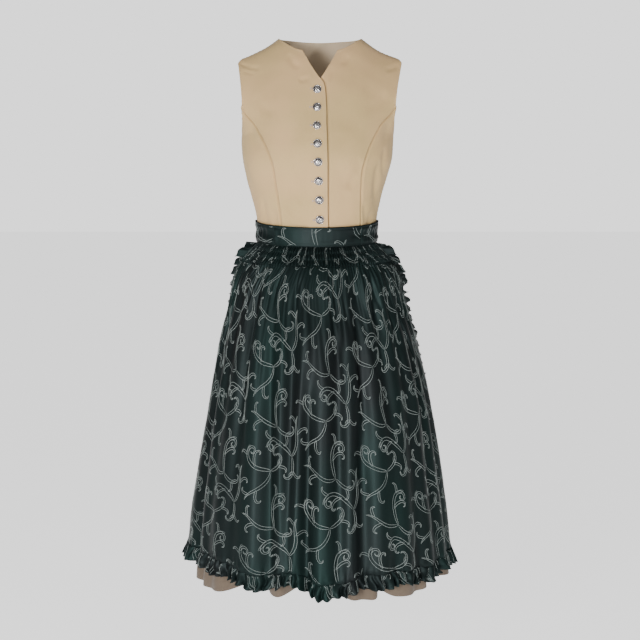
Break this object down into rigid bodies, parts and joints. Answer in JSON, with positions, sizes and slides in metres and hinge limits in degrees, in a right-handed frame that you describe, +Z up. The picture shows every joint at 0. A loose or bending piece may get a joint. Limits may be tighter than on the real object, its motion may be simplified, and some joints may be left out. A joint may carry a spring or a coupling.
{
  "type": "dirndl dress",
  "caption": "Sleeveless dirndl dress with a buttoned bodice, a gathered skirt and a ruffled wrap-round apron tied at the back, in its worn hollow form.",
  "frame": {"origin": "midway between the shoulder tips, at their height, where the wearer's shoulders carry the dress", "axes": "+Z up, -Y out of the front, +X towards the wearer's left"},
  "size_m": [0.6214, 0.5695, 1.188],
  "materials": {
    "beige_cloth": "matt plain-woven cloth",
    "green_satin": "satin-woven cloth with a soft sheen",
    "old_silver": "satin old-silver metal"
  },
  "bodies": {
    "root": {"bodice_right_front": "beige_cloth", "bodice_left_front": "beige_cloth", "bodice_right_side_front": "beige_cloth", "bodice_left_side_front": "beige_cloth", "bodice_back": "beige_cloth", "bodice_left_side_back": "beige_cloth", "bodice_right_side_back": "beige_cloth", "skirt_front": "beige_cloth", "skirt_left_back": "beige_cloth", "skirt_right_back": "beige_cloth", "apron_band": "green_satin", "apron_left_tie": "green_satin", "apron_right_tie": "green_satin", "apron_smocking": "green_satin", "apron_panel": "green_satin", "apron_hem_ruffle": "green_satin", "apron_left_ruffle": "green_satin", "apron_right_ruffle": "green_satin", "bow_knot": "green_satin", "bow_left_loop": "green_satin", "bow_right_loop": "green_satin", "bow_left_tail": "green_satin", "bow_right_tail": "green_satin", "button_1": "old_silver", "button_2": "old_silver", "button_3": "old_silver", "button_4": "old_silver", "button_5": "old_silver", "button_6": "old_silver", "button_7": "old_silver", "button_8": "old_silver"}
  },
  "joints": []
}
